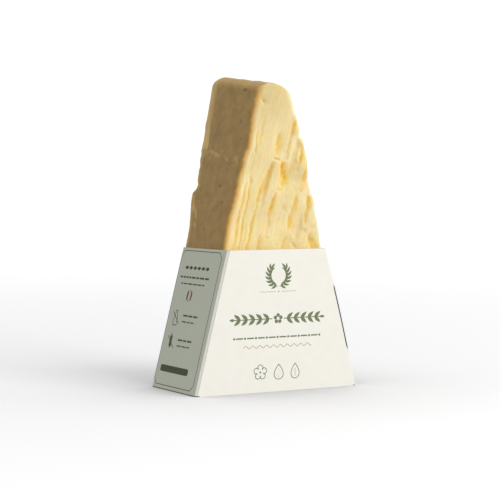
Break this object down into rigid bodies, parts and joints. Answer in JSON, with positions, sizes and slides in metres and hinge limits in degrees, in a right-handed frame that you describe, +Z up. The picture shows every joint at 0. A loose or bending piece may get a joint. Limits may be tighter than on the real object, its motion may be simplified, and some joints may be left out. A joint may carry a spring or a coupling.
{
  "type": "aged almond cheese chunk in a card sleeve",
  "caption": "Upright wedge of hard pale cheese with a smooth knife-cut side and a craggy broken front and back, standing in a tapered folding-card sleeve.",
  "frame": {"origin": "middle of the sleeve's flat underside, on the surface that it stands on", "axes": "+Z up along the wedge towards its narrow tip, -Y out of the sleeve's wide front panel, -X out of the smooth knife-cut side"},
  "size_m": [0.08, 0.0517, 0.1359],
  "materials": {
    "cheese": "hard almond cheese, pale yellow and slightly waxy, broken by hand at the front and back and knife-cut at the sides",
    "card": "uncoated cream folding board, printed with thin dark green lines on one side panel"
  },
  "bodies": {
    "root": {"cheese_wedge": "cheese", "card_sleeve": "card"}
  },
  "joints": []
}
